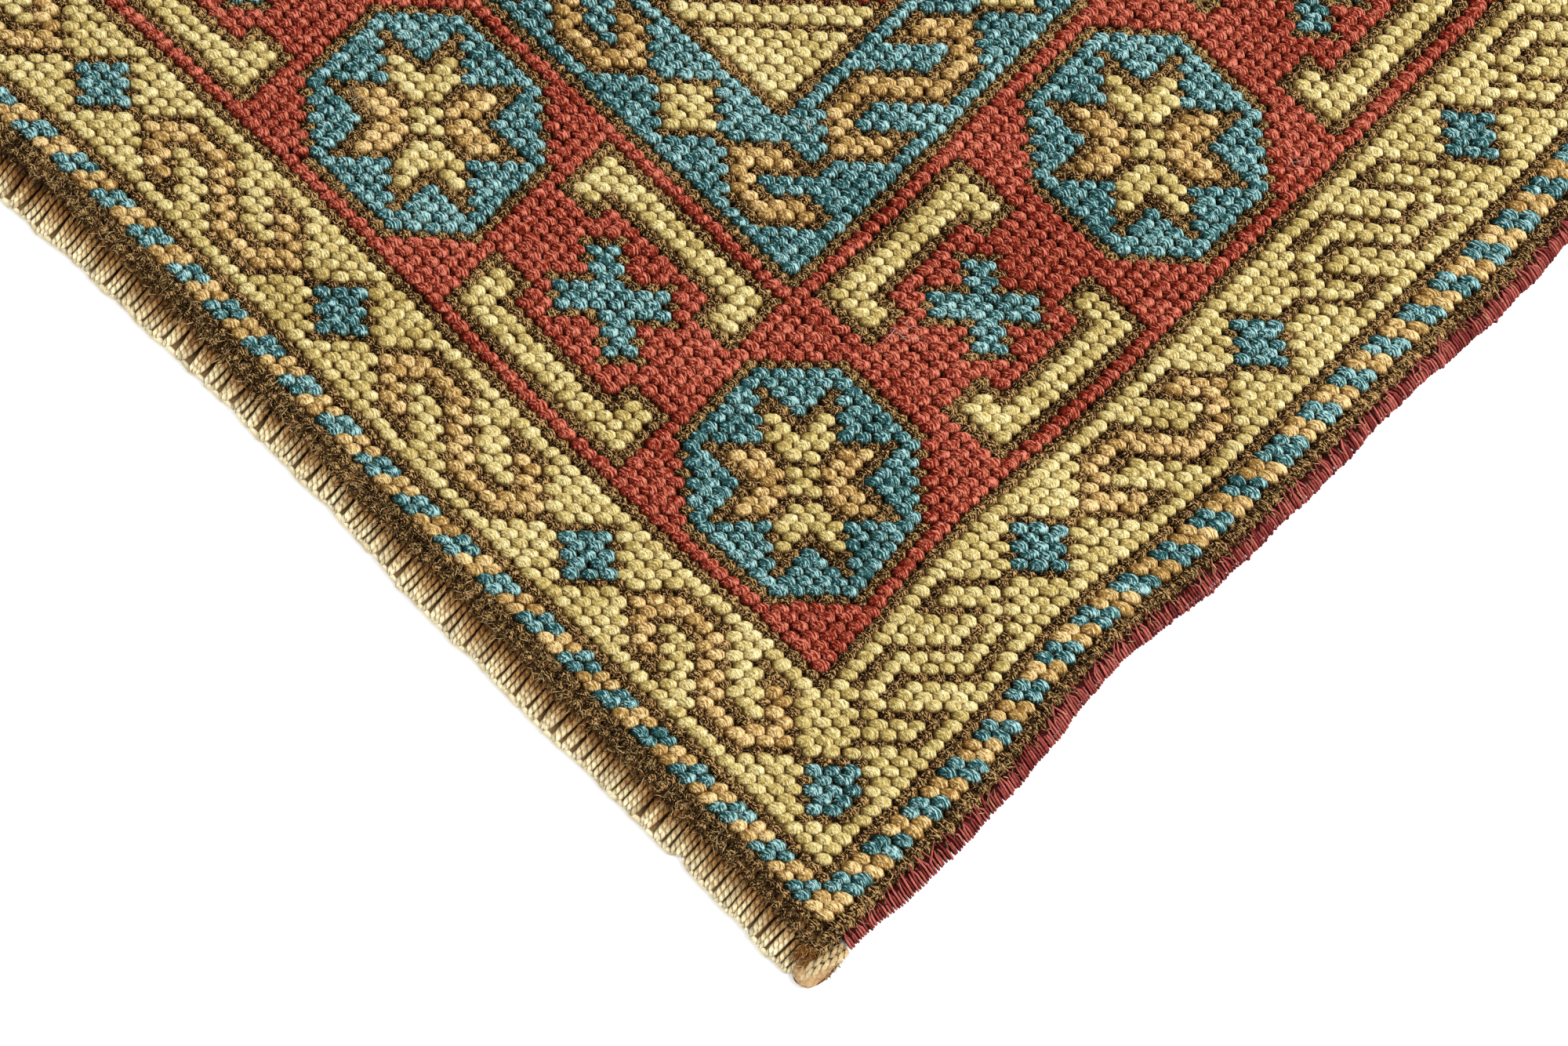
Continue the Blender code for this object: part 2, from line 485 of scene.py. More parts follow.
WOOLS = {
    RED: wool_material("wool_red", (0.095, 0.004, 0.001), (0.225, 0.029, 0.013), (0.58, 0.18, 0.115),
                       0.05, 1.3),
    BLUE: wool_material("wool_blue", (0.006, 0.034, 0.037), (0.042, 0.128, 0.130), (0.34, 0.54, 0.53),
                        0.10, 1.4),
    CREAM: wool_material("wool_ivory", (0.26, 0.18, 0.048), (0.50, 0.385, 0.130), (0.72, 0.64, 0.35),
                         0.12, 1.0),
    PEACH: wool_material("wool_peach", (0.20, 0.10, 0.022), (0.44, 0.275, 0.090), (0.74, 0.56, 0.28),
                         0.16, 1.2),
    BROWN: wool_material("wool_brown", (0.008, 0.003, 0.001), (0.036, 0.0145, 0.003), (0.50, 0.31, 0.12),
                         0.06, 1.5, (3.0, 9.0, 1.0)),
}


# Pieces

def mesh_object(name, points, faces, materials, smooth=True):
    """A mesh from arrays. faces is a list of integer arrays, each with faces of one corner count."""
    mesh = bpy.data.meshes.new(name)
    corner_counts = np.concatenate([np.full(len(block), block.shape[1]) for block in faces])
    corners = np.concatenate([block.ravel() for block in faces])
    mesh.vertices.add(len(points))
    mesh.vertices.foreach_set("co", np.asarray(points, np.float32).ravel())
    mesh.loops.add(len(corners))
    mesh.loops.foreach_set("vertex_index", corners.astype(np.int32))
    mesh.polygons.add(len(corner_counts))
    starts = np.concatenate([[0], np.cumsum(corner_counts)[:-1]])
    mesh.polygons.foreach_set("loop_start", starts.astype(np.int32))
    mesh.update(calc_edges=True)
    mesh.validate()
    mesh.polygons.foreach_set("use_smooth", np.full(len(corner_counts), smooth))
    for material in materials:
        mesh.materials.append(material)
    piece = bpy.data.objects.new(name, mesh)
    bpy.context.scene.collection.objects.link(piece)
    return piece


def point_attribute(piece, name, values):
    attribute = piece.data.attributes.new(name, "FLOAT", "POINT")
    attribute.data.foreach_set("value", np.asarray(values, np.float32).ravel())


def corner_uv(piece, name, uv_of_point):
    layer = piece.data.uv_layers.new(name=name)
    index = np.zeros(len(piece.data.loops), np.int32)
    piece.data.loops.foreach_get("vertex_index", index)
    layer.data.foreach_set("uv", np.asarray(uv_of_point, np.float32)[index].ravel())


# A knot seen from above, in knot steps. It is an oval cushion that leans to the right and the near side,
# as the pile was combed, with its tip over the next knot's foot.
LEAN = np.array([1.0, -1.0]) / math.sqrt(2)
ACROSS = np.array([1.0, 1.0]) / math.sqrt(2)
CROWN_AHEAD = 0.16
# Under 1, this makes an oval's corners fuller.
OVAL_POWER = 0.85
# The strands curl about this point beside the knot's foot, so they show as arcs round its tip.
CURL_AT = np.array([-0.55, -0.40])


def make_pile(colour, members, sides, top, shape):
    """All knots of one colour as one piece. members holds their (i, j), one row each.

    shape holds the knot's rings from its rim up, in knot steps along and across its lean.
    """
    count = len(members)
    turn = (np.arange(sides) + 0.5) / sides * 2 * np.pi
    ring_lean = np.sign(np.cos(turn)) * abs(np.cos(turn)) ** OVAL_POWER
    ring_across = np.sign(np.sin(turn)) * abs(np.sin(turn)) ** OVAL_POWER
    length = rng.uniform(0.92, 1.10, count)
    width = rng.uniform(0.90, 1.12, count)
    jitter = rng.normal(0, 0.05, (count, 2))
    skew = rng.normal(-0.04, 0.07, count)
    lift = rng.normal(0, 0.00020, count)
    total = len(shape) * sides + 1
    points = np.zeros((count, total, 3))
    height = np.zeros((count, total))
    seen = np.zeros((count, total, 2))
    for number, ring in enumerate(shape):
        lean = ring_lean[None] * ring["half_lean"] * length[:, None] + ring["ahead"]
        across = ring_across[None] * ring["half_across"] * width[:, None] + skew[:, None] * lean
        at = members[:, None] + jitter[:, None] + lean[..., None] * LEAN + across[..., None] * ACROSS
        x, y = place(at[..., 0], at[..., 1])
        z = ring["z"] + ring["tilt"] * ring_lean[None] + lift[:, None]
        span = slice(number * sides, (number + 1) * sides)
        points[:, span] = np.stack([x, y, z], -1)
        height[:, span] = ring["height"]
        seen[:, span] = np.stack([lean, across], -1)
    tip = members + jitter + CROWN_AHEAD * LEAN
    x, y = place(tip[:, 0], tip[:, 1])
    points[:, -1] = np.stack([x, y, top + lift], -1)
    height[:, -1] = 1.0
    seen[:, -1] = (CROWN_AHEAD, 0.0)
    curl = seen - CURL_AT
    strands = np.stack([np.arctan2(curl[..., 1], curl[..., 0]), np.hypot(curl[..., 0], curl[..., 1])], -1)
    strands += rng.uniform(0, 50, (count, 1, 2))
    base = np.arange(count)[:, None, None] * total
    here = np.arange(sides)
    ahead = (here + 1) % sides
    faces = []
    for number in range(len(shape) - 1):
        low, high = number * sides, (number + 1) * sides
        walls = np.stack([low + here, low + ahead, high + ahead, high + here], 1)[None] + base
        faces.append(walls.reshape(-1, 4))
    low = (len(shape) - 1) * sides
    caps = np.stack([low + here, low + ahead, np.full(sides, total - 1)], 1)[None] + base
    faces.append(caps.reshape(-1, 3))
    piece = mesh_object("pile_" + COLOUR_NAMES[colour], points.reshape(-1, 3), faces, [WOOLS[colour]])
    point_attribute(piece, "pile_height", height)
    # tip_side lightens each knot towards its tip: a painted highlight.
    point_attribute(piece, "tip_side", np.clip(0.5 + 0.75 * seen[..., 0], 0, 1))
    point_attribute(piece, "knot_tone", np.repeat(rng.uniform(0, 1, count)[:, None], total, 1))
    corner_uv(piece, "strands", strands.reshape(-1, 2))
    return piece


def knots_of(colour):
    members = np.stack([GRID_I[pattern == colour], GRID_J[pattern == colour]], 1)
    return members.astype(float)


# Each ring's height sets the painted shade of its wool, darkest at 0, at a knot's foot.
PLUMP_SIDES = 8
PLUMP_KNOT = (
    {"half_lean": 0.84, "half_across": 0.60, "ahead": 0.00, "z": 0.0032, "tilt": -0.0002, "height": 0.0},
    {"half_lean": 0.60, "half_across": 0.39, "ahead": 0.06, "z": 0.0052, "tilt": 0.0002, "height": 0.70},
)
SUNKEN_SIDES = 5
SUNKEN_KNOT = (
    {"half_lean": 0.88, "half_across": 0.76, "ahead": 0.00, "z": 0.0024, "tilt": 0.0, "height": 0.2},
    {"half_lean": 0.52, "half_across": 0.40, "ahead": 0.03, "z": 0.0040, "tilt": 0.0001, "height": 0.76},
)
pile_pieces = []
for colour in (RED, BLUE, CREAM, PEACH):
    pile_pieces.append(make_pile(colour, knots_of(colour), PLUMP_SIDES, KNOT_TOP, PLUMP_KNOT))
pile_pieces.append(make_pile(BROWN, knots_of(BROWN), SUNKEN_SIDES, BROWN_TOP, SUNKEN_KNOT))


def make_back():
    """The back of the rug: one sheet with a face for each knot, which shows that knot's colour."""
    edge_i = np.arange(FIRST_I, LAST_I + 2) - 0.5
    edge_j = np.arange(FIRST_J, LAST_J + 2) - 0.5
    at_i, at_j = np.meshgrid(edge_i, edge_j, indexing="ij")
    x, y = place(at_i, at_j)
    points = np.stack([x, y, np.full(x.shape, BACK_HIGH)], -1).reshape(-1, 3)
    row = len(edge_j)
    first = (np.arange(KNOTS_LONG)[:, None] * row + np.arange(KNOTS_WIDE)[None]).ravel()
    faces = np.stack([first, first + row, first + row + 1, first + 1], 1)
    # The sheet carries no pile height, so its wool takes the darkest painted shade, that of a knot's foot.
    piece = mesh_object("knotted_back", points, [faces], [WOOLS[colour] for colour in sorted(WOOLS)], False)
    piece.data.polygons.foreach_set("material_index", pattern.ravel().astype(np.int32))
    return piece


back = make_back()
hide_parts("field")
for piece in [back, *pile_pieces]:
    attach(piece, "root")


# Threads and cords

# The strands' pattern counts millimetres along a yarn, and each yarn starts at a point below STRAND_START.
STRAND_UNITS = 1000
STRAND_START = 90
YARN_RELIEF = 0.0005


def material_along(name, stops, speckle, stripes, rough, lay=(1.0, 1.0, 1.0), plied=False):
    """Yarn whose colour runs along it by the attribute "along", with fibres and a tone for each yarn.

    A plied yarn gets painted shade in the groove between its two strands.
    """
    material, nodes, links, shader = new_material(name)
    place_node = nodes.new("ShaderNodeTexCoord")
    along = nodes.new("ShaderNodeAttribute")
    along.attribute_name = "along"
    tone = nodes.new("ShaderNodeAttribute")
    tone.attribute_name = "knot_tone"
    uv = nodes.new("ShaderNodeUVMap")
    uv.uv_map = "strands"
    fluff = noise(nodes, links, place_node.outputs["Object"], 1100.0, 3.0)
    fibre = noise(nodes, links, uv.outputs["UV"], 1.0, 2.0, lay)
    shift = math_node(nodes, links, "MULTIPLY", math_node(nodes, links, "SUBTRACT", fluff, 0.5), speckle)
    colour = link_ramp(nodes, links, math_node(nodes, links, "ADD", along.outputs["Fac"], shift), stops)
    mixed = math_node(nodes, links, "ADD", math_node(nodes, links, "MULTIPLY", tone.outputs["Fac"], 0.5),
                      math_node(nodes, links, "MULTIPLY", fibre, stripes))
    shade = link_ramp(nodes, links, mixed, ((0.1, (0.42, 0.38, 0.34)), (0.75, (1.0, 1.0, 1.0))))
    colour = mix_colour(nodes, links, "MULTIPLY", 1.0, colour, shade)
    relief = math_node(nodes, links, "ADD", fibre, math_node(nodes, links, "MULTIPLY", fluff, 0.5))
    # Painted shade in the groove between the two strands.
    if plied:
        split = nodes.new("ShaderNodeSeparateXYZ")
        links.new(uv.outputs["UV"], split.inputs["Vector"])
        phase = math_node(nodes, links, "MULTIPLY", split.outputs["Y"], math.pi)
        wave = math_node(nodes, links, "COSINE", phase, 0)
        groove = math_node(nodes, links, "ABSOLUTE", wave, 0)
        dark = link_ramp(nodes, links, groove, ((0.0, (0.34, 0.26, 0.18)), (0.55, (1, 1, 1))))
        colour = mix_colour(nodes, links, "MULTIPLY", 1.0, colour, dark)
        relief = math_node(nodes, links, "ADD", relief, groove)
    links.new(colour, shader.inputs["Base Color"])
    shader.inputs["Roughness"].default_value = rough
    shader.inputs["Specular IOR Level"].default_value = 0.05
    bump = nodes.new("ShaderNodeBump")
    bump.inputs["Strength"].default_value = 0.8
    bump.inputs["Distance"].default_value = YARN_RELIEF
    links.new(relief, bump.inputs["Height"])
    links.new(bump.outputs["Normal"], shader.inputs["Normal"])
    return material


def make_tubes(name, paths, radii, sides, material, reference, along,
               lobe=0.0, twist=None, cap=False, flat=1.0):
    """Many tubes as one piece. paths is (tube, point, 3), radii (tube, point), along the same as radii.

    reference is a direction that no path follows. lobe and twist give a plied cord its two turning strands.
    """
    count, steps = paths.shape[:2]
    tangent = np.gradient(paths, axis=1)
    tangent /= np.linalg.norm(tangent, axis=2, keepdims=True)
    aside = np.cross(tangent, np.asarray(reference, float))
    aside /= np.linalg.norm(aside, axis=2, keepdims=True)
    above = np.cross(aside, tangent)
    # The seam of the strands' pattern is underneath.
    turn = (np.arange(sides) + 0.5) / sides * 2 * np.pi - np.pi / 2
    grow = np.ones((count, steps, sides))
    if twist is not None:
        grow = 1 - lobe + lobe * abs(np.cos(turn[None, None] - twist[..., None])) * 1.35
    reach = radii[..., None] * grow
    points = (paths[:, :, None] + (np.cos(turn) * reach)[..., None] * aside[:, :, None]
              + (np.sin(turn) * reach * flat)[..., None] * above[:, :, None])
    ring = np.arange(steps - 1)[:, None] * sides
    here = np.arange(sides)[None]
    ahead = (here + 1) % sides
    walls = np.stack([ring + here, ring + ahead, ring + sides + ahead, ring + sides + here], -1)
    walls = walls.reshape(-1, 4)
    base = (np.arange(count) * steps * sides)[:, None, None]
    faces = [(walls[None] + base).reshape(-1, 4)]
    if cap:
        last = np.arange(sides)[None] + (steps - 1) * sides + base[:, :, 0]
        first = np.arange(sides)[::-1][None] + base[:, :, 0]
        faces += [last, first]
    piece = mesh_object(name, points.reshape(-1, 3), faces, [material])
    point_attribute(piece, "along", np.repeat(along[..., None], sides, 2))
    tone = rng.uniform(0, 1, (count, 1, 1))
    point_attribute(piece, "knot_tone", np.broadcast_to(tone, (count, steps, sides)))
    stride = np.linalg.norm(np.diff(paths, axis=1), axis=2)
    length = np.concatenate([np.zeros((count, 1)), np.cumsum(stride, 1)], 1)
    uv = np.stack(np.broadcast_arrays(
        length[..., None] * STRAND_UNITS + rng.uniform(0, STRAND_START, (count, 1, 1)),
        turn[None, None] / math.pi - (0 if twist is None else twist[..., None] / math.pi)), -1)
    corner_uv(piece, "strands", uv.reshape(-1, 2))
    return piece


RED_THREAD = material_along("red_thread", ((0.0, (0.030, 0.003, 0.003)), (0.45, (0.15, 0.020, 0.018)),
                                           (1.0, (0.42, 0.11, 0.085))), 0.6, 1.2, 0.75, (0.7, 3.0, 1.0))
WARP_CORD = material_along("warp_cord", ((0.0, (0.030, 0.014, 0.005)), (0.20, (0.15, 0.065, 0.018)),
                                         (0.42, (0.34, 0.19, 0.07)), (0.68, (0.62, 0.50, 0.28)),
                                         (1.0, (0.72, 0.65, 0.44))), 0.45, 0.8, 0.85, (0.8, 2.0, 1.0), True)
WARP_RIM = material_along("warp_rim", ((0.0, (0.34, 0.26, 0.14)), (0.5, (0.56, 0.48, 0.30)),
                                       (1.0, (0.70, 0.63, 0.43))), 0.5, 0.9, 0.9, (2.2, 0.5, 1.0))
# Painted shade: a dark sheet that shows in the gaps between the warp cords.
WARP_SHADE_SHEET = material_along("warp_shade_sheet", ((0.0, (0.012, 0.006, 0.002)), (0.6, (0.05, 0.024, 0.008)),
                                       (1.0, (0.20, 0.12, 0.05))), 0.5, 0.7, 0.9, (0.3, 1.6, 1.0))
STAINED_HAIR = material_along("stained_hair", ((0.0, (0.12, 0.045, 0.010)), (0.6, (0.30, 0.13, 0.035)),
                                               (1.0, (0.55, 0.33, 0.13))), 0.6, 0.5, 0.8)
WARP_BUNDLE = material_along("warp_bundle", ((0.0, (0.10, 0.05, 0.018)), (0.4, (0.34, 0.21, 0.10)),
                                             (1.0, (0.62, 0.48, 0.28))), 0.9, 1.0, 0.85, (0.25, 6.0, 1.0))
LINT = material_along("lint", ((0.0, (0.50, 0.48, 0.42)), (1.0, (0.60, 0.57, 0.50))), 0.3, 0.3, 0.8)
BROWN_HAIR = material_along("brown_hair", ((0.0, (0.006, 0.003, 0.001)), (0.5, (0.040, 0.019, 0.005)),
                                           (1.0, (0.58, 0.40, 0.18))), 0.5, 0.5, 0.7)


def beside(i, out, side):
    """The point that lies out metres beyond the near (-1) or far (1) edge of the knots, level with knot i."""
    j = FIRST_J - 0.5 if side < 0 else LAST_J + 0.5
    return place(i, np.full(np.shape(i), j), out)


# Selvedges: a cord of warps on each side, overcast with red wool that bites into the edge row

CORD_OUT = 0.0034
CORD_MIDDLE = 0.0025
CORD_HALF_WIDE = 0.0018
CORD_HALF_HIGH = 0.0020
WRAP_PITCH = 0.00096
WRAP_RADIUS = 0.00042
WRAP_SLANT = 0.20
CORE_RINGS = 110
CORE_OUT = 0.0018
CORE_RADIUS = 0.0022
# How many knots the overcasting stops short of each end.
SELVEDGE_SHORT = 1.8
# Where a thread turns down into its stitch, beyond the edge of the knots and over the floor.
STITCH_OUT = 0.0021
STITCH_HIGH = 0.0046
SIDE_HAIRS = 2000


def make_selvedge(name, side):
    """One side: the overcast threads, and the core that they go round."""
    first_i = FIRST_I + SELVEDGE_SHORT
    last_i = LAST_I - SELVEDGE_SHORT
    count = int((last_i - first_i) * KNOT_LONG / WRAP_PITCH)
    at = np.linspace(first_i, last_i, count) + rng.normal(0, 0.03, count)
    from_end = np.minimum(at - first_i, last_i - at)
    turn = np.radians([-110, -50, 0, 45, 88])
    swell = 1 + 0.09 * np.sin(at * 0.41 + side) + 0.06 * np.sin(at * 1.13) + rng.normal(0, 0.05, count)
    swell = swell * (1 - 0.25 * np.exp(-((from_end / 3) ** 2)))
    out = CORD_OUT * (0.5 + 0.5 * swell[:, None]) + np.cos(turn)[None] * CORD_HALF_WIDE * swell[:, None]
    z = CORD_MIDDLE + np.sin(turn)[None] * CORD_HALF_HIGH * (0.5 + 0.5 * swell[:, None])
    # Each thread ends in a short stitch of its own slant and depth, in the edge row of knots.
    bite = 0.0008 - 0.0032 * rng.uniform(0, 1, count) ** 1.6 - 0.0003 * np.sin(at * 0.9)
    out = np.concatenate([out, np.full((count, 1), STITCH_OUT), bite[:, None]], 1)
    inner = STITCH_HIGH + rng.normal(0, 0.0003, (count, 1))
    z = np.concatenate([z, inner, inner - 0.0006], 1)
    inside = np.clip(1 - out / 0.0022, 0, 2)
    lean = side * WRAP_SLANT * (out - CORD_OUT) / KNOT_LONG + rng.normal(0, 0.20, (count, 1)) * inside
    x, y = beside(at[:, None] + lean, out, side)
    paths = np.stack([x, y, np.maximum(z, WRAP_RADIUS)], -1)
    radii = np.full(out.shape, WRAP_RADIUS) * rng.uniform(0.82, 1.12, (count, 1))
    radii[:, -1] *= 0.5
    # Each thread is darkest on the cord's underside and lighter over its top: painted shade, with a random
    # tone for each thread.
    along = np.linspace(0.1, 0.6, out.shape[1])[None] + rng.uniform(-0.1, 0.5, (count, 1))
    threads = make_tubes("wraps_" + name, paths, radii, 4, RED_THREAD, (1, 0, 0), along)
    # The core takes the thread's darkest red, painted shade for the gaps between the wraps.
    rings = np.linspace(first_i, last_i, CORE_RINGS)
    core_x, core_y = beside(rings, np.full(CORE_RINGS, CORE_OUT), side)
    core = np.stack([core_x, core_y, np.full(CORE_RINGS, CORE_RADIUS)], -1)[None]
    body = make_tubes("cord_" + name, core, np.full((1, CORE_RINGS), CORE_RADIUS), 10, RED_THREAD, (0, 0, 1),
                      np.zeros((1, CORE_RINGS)), cap=True)
    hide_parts("binding_" + name)
    return [threads, body]


# Warp ends: two plied cords for each knot, with bundles, stained roots and tips that merge in a pale rim

CORD_STEPS = 10
CORD_SIDES = 6
CORD_RADIUS = 0.00088
CORD_REACH = 0.0085
CORD_TURN = 2 * math.pi / 0.0021
CORD_INSIDE = 0.0030
CORD_LOBE = 0.12
CORD_ROOT_HIGH = 0.0032
END_HAIRS = 3200
FRINGE_HALF_WIDE = 0.2488
NOTCH_J = 4.0
NOTCH_DEEP = 0.0014
SHADE_SHEET_SHORT = 0.0012
RIM_RADIUS = 0.00075
# Where the cords are longer, along the edge from the camera's corner.
LONGER_CORDS = (
    {"j": -7, "reach_j": 8, "more": 0.0033},
    {"j": 29, "reach_j": 5, "more": 0.0010},
)


def smooth_wander(values, shares):
    """A soft random wave over values: shares holds (wave length, height) pairs."""
    total = np.zeros(values.shape)
    for length, size in shares:
        total += size * np.sin(values / length * 2 * np.pi + rng.uniform(0, 2 * np.pi))
    return total


def make_warp_ends(name, end):
    """One end: the cords in loose groups, the rim at their tips and a dark sheet of painted shade under them.
    """
    count = 2 * KNOTS_WIDE - 4
    root_y = np.linspace(-FRINGE_HALF_WIDE, FRINGE_HALF_WIDE, count)
    # j counts from the corner that this end's pattern starts at.
    j = MIDDLE_J - end * root_y / KNOT_WIDE
    reach = CORD_REACH + smooth_wander(j, ((13.0, 0.0002), (5.3, 0.0002))) + rng.normal(0, 0.00015, count)
    for spot in LONGER_CORDS:
        reach = reach + spot["more"] * np.exp(-(((j - spot["j"]) / spot["reach_j"]) ** 2))
    reach = reach - NOTCH_DEEP * np.exp(-(((j - NOTCH_J) / 0.5) ** 2))
    drift = smooth_wander(j, ((23.0, 0.0003), (7.0, 0.0003)))
    start = 0
    while start < count:
        size = int(rng.choice([1, 1, 2, 2, 3]))
        group = slice(start, min(start + size, count))
        drift[group] += (root_y[group].mean() - root_y[group]) * rng.uniform(0.15, 0.75)
        start += size
    share = np.linspace(0, 1, CORD_STEPS)[None]
    root_x = end * (half_long(root_y, end) - CORD_INSIDE)
    run = (reach + CORD_INSIDE)[:, None] * share
    z = CORD_ROOT_HIGH + (CORD_RADIUS - CORD_ROOT_HIGH) * np.minimum(share * 1.5, 1) ** 1.2
    z = z + 0.0004 + rng.normal(0, 0.00018, (count, 1)) * share
    paths = np.stack([root_x[:, None] + end * run, root_y[:, None] + drift[:, None] * share ** 1.5, z], -1)
    radii = CORD_RADIUS * rng.uniform(0.88, 1.10, (count, 1)) * np.where(share > 0.99, 0.6, 1.0)
    twist = run * CORD_TURN * 0.5 + rng.uniform(0, math.pi, (count, 1))
    along = share * 0.95 + rng.normal(0, 0.06, (count, 1))
    cords = make_tubes("cords_" + name, paths, radii, CORD_SIDES, WARP_CORD, (0, 0, 1), along,
                       CORD_LOBE, twist, cap=True)
    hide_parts("warp_ends_" + name)
    # The rim where the cords fold back and felt together.
    tips = paths[:, -1] - np.array([end * 0.0003, 0, 0])
    tips[:, 2] = RIM_RADIUS
    rim_radii = RIM_RADIUS * (1 + smooth_wander(j, ((3.1, 0.15), (1.7, 0.15))) + rng.normal(0, 0.15, count))
    rim_radii = rim_radii * (1 - 0.6 * (abs(j - NOTCH_J) < 0.6))
    rim = make_tubes("rim_" + name, tips[None], rim_radii[None], 6, WARP_RIM, (0, 0, 1),
                     rng.uniform(0.2, 1.0, (1, count)), cap=True, flat=0.8)
    # A dark sheet under the cords, darker towards the rug: painted shade for the gaps between them.
    shares = np.linspace(0, 1, 4)
    shade_sheet_run = shares[None] * (reach[:, None] - SHADE_SHEET_SHORT + CORD_INSIDE)
    shade_sheet = np.stack(np.broadcast_arrays(root_x[:, None] + end * shade_sheet_run, root_y[:, None],
                                       0.0006 - 0.0002 * shares[None]), -1)
    first = (np.arange(count - 1)[:, None] * 4 + np.arange(3)[None]).ravel()
    quads = np.stack([first, first + 4, first + 5, first + 1], 1)
    if end < 0:
        quads = quads[:, ::-1]
    shade_sheet_piece = mesh_object("shade_sheet_end_" + name, shade_sheet.reshape(-1, 3), [quads], [WARP_SHADE_SHEET])
    point_attribute(shade_sheet_piece, "along", np.broadcast_to(shares[None], (count, 4)))
    point_attribute(shade_sheet_piece, "knot_tone", np.broadcast_to(rng.uniform(0, 1, (count, 1)), (count, 4)))
    corner_uv(shade_sheet_piece, "strands", (shade_sheet[..., :2] * STRAND_UNITS).reshape(-1, 2))
    return [cords, rim, shade_sheet_piece]


HAIR_SIDES = 3
BROWN_FIBRES = 10500


def make_hairs(name, roots, lengths, heading, spread, high, radius, material, gold=0.5):
    """Loose fibres that start at roots, head mostly one way, bend once and end in a point.

    gold is how far the lightest fibres go towards the material's light end.
    """
    count = len(roots)
    angle = heading + rng.normal(0, spread, count)
    bent = angle + rng.normal(0, 0.6, count)
    half = lengths / 2
    rise = high * rng.uniform(0.3, 1.0, count)
    middle = roots + np.stack([np.cos(angle) * half, np.sin(angle) * half, rise], -1)
    tip = middle + np.stack([np.cos(bent) * half, np.sin(bent) * half, -rise * rng.uniform(0, 1, count)], -1)
    tip[:, 2] = np.maximum(tip[:, 2], radius)
    turn = np.arange(HAIR_SIDES) / HAIR_SIDES * 2 * np.pi
    thick = radius * rng.uniform(0.7, 1.25, count)[:, None, None]
    aside = np.stack([-np.sin(angle), np.cos(angle), np.zeros(count)], -1)[:, None]
    ring = (aside * np.cos(turn)[None, :, None] + np.array([0, 0, 1.0]) * np.sin(turn)[None, :, None]) * thick
    total = 2 * HAIR_SIDES + 1
    points = np.concatenate([roots[:, None] + ring, middle[:, None] + ring * 0.85, tip[:, None]], 1)
    here = np.arange(HAIR_SIDES)
    ahead = (here + 1) % HAIR_SIDES
    base = np.arange(count)[:, None, None] * total
    walls = np.stack([here, ahead, HAIR_SIDES + ahead, HAIR_SIDES + here], 1)[None] + base
    caps = np.stack([HAIR_SIDES + here, HAIR_SIDES + ahead, np.full(HAIR_SIDES, total - 1)], 1)[None] + base
    piece = mesh_object(name, points.reshape(-1, 3), [walls.reshape(-1, 4), caps.reshape(-1, 3)], [material])
    share = np.concatenate([np.zeros(HAIR_SIDES), np.full(HAIR_SIDES, 0.5), [1.0]])[None]
    along = share * 0.3 + rng.uniform(-0.1, gold, (count, 1))
    point_attribute(piece, "along", along)
    point_attribute(piece, "knot_tone", np.broadcast_to(rng.uniform(0.3, 1, (count, 1)), (count, total)))
    run = share * lengths[:, None] * STRAND_UNITS + rng.uniform(0, STRAND_START, (count, 1))
    uv = np.stack(np.broadcast_arrays(run, share), -1)
    corner_uv(piece, "strands", uv.reshape(-1, 2))
    return piece


def make_end_fuzz(name, end, count):
    """The brown wool that stands out of the last rows, over the roots of the cords."""
    j = rng.uniform(FIRST_J - 0.4, LAST_J + 0.4, count)
    i = (FIRST_I if end < 0 else LAST_I) - end * rng.uniform(-0.7, 1.8, count)
    x, y = place(i, j)
    roots = np.stack([x, y, rng.uniform(0.0034, 0.0052, count)], -1)
    heading = math.pi if end < 0 else 0.0
    return make_hairs("edge_hair_" + name, roots, rng.uniform(0.0016, 0.0042, count), heading, 0.9,
                      0.0010, 0.00017, BROWN_HAIR, 0.75)


def make_side_fuzz(name, side, count):
    """Brown pile that stands between the red stitches."""
    i = rng.uniform(FIRST_I, LAST_I, count)
    x, y = beside(i, rng.uniform(-0.0040, 0.0018, count), side)
    roots = np.stack([x, y, rng.uniform(0.0038, 0.0048, count)], -1)
    return make_hairs("side_hair_" + name, roots, rng.uniform(0.0012, 0.0030, count),
                      side * math.pi / 2, 0.8, 0.0009, 0.00017, BROWN_HAIR, 0.9)


def make_brown_fibres(count):
    """Single fibres that stand up from the brown knots, which are worn and fuzzy."""
    members = knots_of(BROWN)
    picked = members[rng.integers(0, len(members), count)] + rng.uniform(-0.45, 0.45, (count, 2))
    x, y = place(picked[:, 0], picked[:, 1])
    roots = np.stack([x, y, rng.uniform(0.0038, 0.0046, count)], -1)
    return make_hairs("brown_fibres", roots, rng.uniform(0.0012, 0.0026, count), -math.pi / 4, 1.1,
                      0.0010, 0.00014, BROWN_HAIR, 1.0)


# Corners: the selvedge's last cords, folded back over a bundle of its warps

CORNER_X = 0.3878
CORNER_Y = 0.2504
CORNER_STEPS = 40
CORNER_HAIRS = 150
FOLDED_RADIUS = 0.00105
FOLDED_LOBE = 0.45
EDGE_STEPS = 24
EDGE_THREAD_RADIUS = 0.00030


